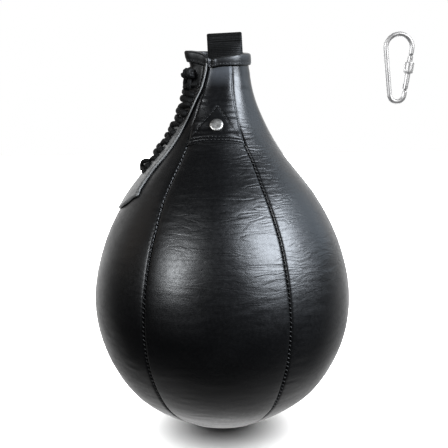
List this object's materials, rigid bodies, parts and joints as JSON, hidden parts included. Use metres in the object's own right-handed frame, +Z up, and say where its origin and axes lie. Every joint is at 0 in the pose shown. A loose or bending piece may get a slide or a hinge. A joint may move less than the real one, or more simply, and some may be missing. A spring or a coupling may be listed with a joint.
{
  "type": "speed bag",
  "caption": "Pear-shaped six-gore leather speed bag with a laced neck, a webbing hanging loop and a screw-gate carabiner.",
  "frame": {"origin": "under the fold of the hanging loop, where a hook bears", "axes": "+Z up, -Y the front with the rivet patch, the laced slit towards -X, the stored carabiner towards +X"},
  "size_m": [0.2741, 0.2201, 0.341],
  "materials": {
    "black_leather": "semi-gloss black, fine grain",
    "facing_leather": "dark grey, satin",
    "webbing": "ribbed black webbing, matt",
    "lace_cord": "braided black cord, matt",
    "bladder_rubber": "matt moulded rubber",
    "dull_nickel": "dull nickel plate",
    "zinc_steel": "bright zinc-plated steel",
    "spring_steel": "drawn spring wire"
  },
  "bodies": {
    "strap": {"hanging_strap": "webbing"},
    "bag": {"gore_front": "black_leather", "gore_front_left": "black_leather", "gore_rear_left": "black_leather", "gore_rear": "black_leather", "gore_rear_right": "black_leather", "gore_front_right": "black_leather", "neck_patch_front": "black_leather", "neck_patch_rear": "black_leather", "lacing_tongue": "black_leather", "collar_binding": "black_leather", "lacing_facing_front": "facing_leather", "lacing_facing_rear": "facing_leather", "lace": "lace_cord", "lace_knot": "lace_cord", "bladder": "bladder_rubber", "bladder_valve": "bladder_rubber", "front_rivet": "dull_nickel", "front_rivet_washer": "dull_nickel", "rear_rivet": "dull_nickel", "rear_rivet_washer": "dull_nickel"},
    "carabiner": {"carabiner_hook": "zinc_steel", "gate_hinge_pin": "zinc_steel"},
    "gate": {"carabiner_gate": "zinc_steel", "gate_nose_pin": "zinc_steel", "gate_spring": "spring_steel"},
    "sleeve": {"screw_sleeve": "zinc_steel"}
  },
  "joints": [
    {"name": "bag_swing", "type": "hinge", "parent": "strap", "child": "bag", "pos_m": [0, 0, -0.0045], "axis": [1, 0, 0], "range_deg": [-50, 50], "deforming": ["hanging_strap"]},
    {"name": "clip_on", "type": "slide", "parent": "strap", "child": "carabiner", "axis": [-0.9387, 0, 0.3446], "range_m": [0, 0.1555], "deforming": ["hanging_strap"]},
    {"name": "gate_open", "type": "hinge", "parent": "carabiner", "child": "gate", "pos_m": [0.15711, 0, -0.04436], "axis": [0, -1, 0], "range_deg": [0, 25], "stiffness_Nm_per_rad": 0.03, "springref_deg": -17.19},
    {"name": "sleeve_lift", "type": "slide", "parent": "gate", "child": "sleeve", "axis": [0.1449, 0, 0.9895], "range_m": [0, 0.007]}
  ]
}
